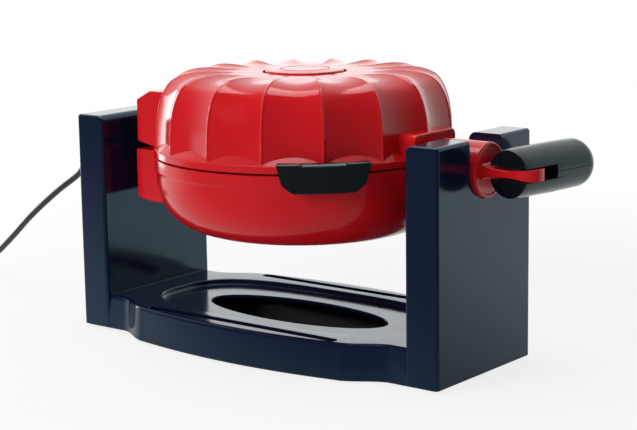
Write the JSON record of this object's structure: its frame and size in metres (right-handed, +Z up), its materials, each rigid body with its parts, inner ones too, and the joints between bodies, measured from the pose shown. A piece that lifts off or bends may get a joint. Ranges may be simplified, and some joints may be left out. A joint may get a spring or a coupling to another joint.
{
  "type": "rotary cake maker",
  "caption": "Electric ring-cake maker: a hinged red fluted mould that flips between two towers of a black stand, with latch, folding handle and cord.",
  "frame": {"origin": "on the table, midway between the left tower's outer face and the handle's outermost point, and midway between the rim's front and rear", "axes": "+X from the left tower towards the handle along the flip axis, -Y towards the front where the latch is, +Z up"},
  "size_m": [0.8682, 0.266, 0.2469],
  "materials": {
    "red_shell": "high gloss red",
    "stand_moulding": "high gloss navy black",
    "black_satin": "satin black",
    "black_matte": "matte black",
    "cord_sheath": "smooth matte black",
    "foot_rubber": "matte black",
    "coated_pan": "dark non-stick coating",
    "heater_sheath": "dull grey-brown",
    "bright_steel": "turned",
    "ivory_plastic": "matte"
  },
  "bodies": {
    "stand": {"stand_shell": "stand_moulding", "base_plate": "black_matte", "foot_1": "foot_rubber", "foot_2": "foot_rubber", "foot_3": "foot_rubber", "foot_4": "foot_rubber", "bearing_bush": "black_satin", "strain_relief": "black_matte", "terminal_block": "ivory_plastic", "supply_cord": "cord_sheath", "cord_coil": "cord_sheath", "cord_tie": "black_satin", "mains_plug": "black_satin", "plug_pin_1": "bright_steel", "plug_pin_2": "bright_steel"},
    "lower_mould": {"lower_housing": "red_shell", "lower_pan": "coated_pan", "lower_heater": "heater_sheath", "thermostat": "bright_steel", "lower_hinge_block": "red_shell", "journal": "black_satin", "hinge_pin": "bright_steel", "drum_hub": "red_shell", "latch_pin": "bright_steel"},
    "lid": {"lid_housing": "red_shell", "lid_pan": "coated_pan", "lid_heater": "heater_sheath", "lid_cap": "red_shell", "lid_hinge_block": "red_shell", "lid_hub_block": "red_shell"},
    "latch": {"latch": "black_satin"},
    "handle": {"handle_upper": "black_satin", "handle_lower": "black_satin", "handle_pin": "bright_steel"}
  },
  "joints": [
    {"name": "mould_flip", "type": "hinge", "parent": "stand", "child": "lower_mould", "pos_m": [-0.01696, 0, 0.174], "axis": [1, 0, 0], "range_deg": [0, 180]},
    {"name": "lid_hinge", "type": "hinge", "parent": "lower_mould", "child": "lid", "pos_m": [-0.16096, 0, 0.197], "axis": [0, -1, 0], "range_deg": [0, 17]},
    {"name": "latch_hinge", "type": "hinge", "parent": "lower_mould", "child": "latch", "pos_m": [0.07857, -0.09722, 0.1645], "axis": [0.7133, 0.7009, 0], "range_deg": [0, 50]},
    {"name": "handle_fold", "type": "hinge", "parent": "lower_mould", "child": "handle", "pos_m": [0.20004, 0, 0.174], "axis": [0, 0, 1], "range_deg": [-82, 8]}
  ]
}
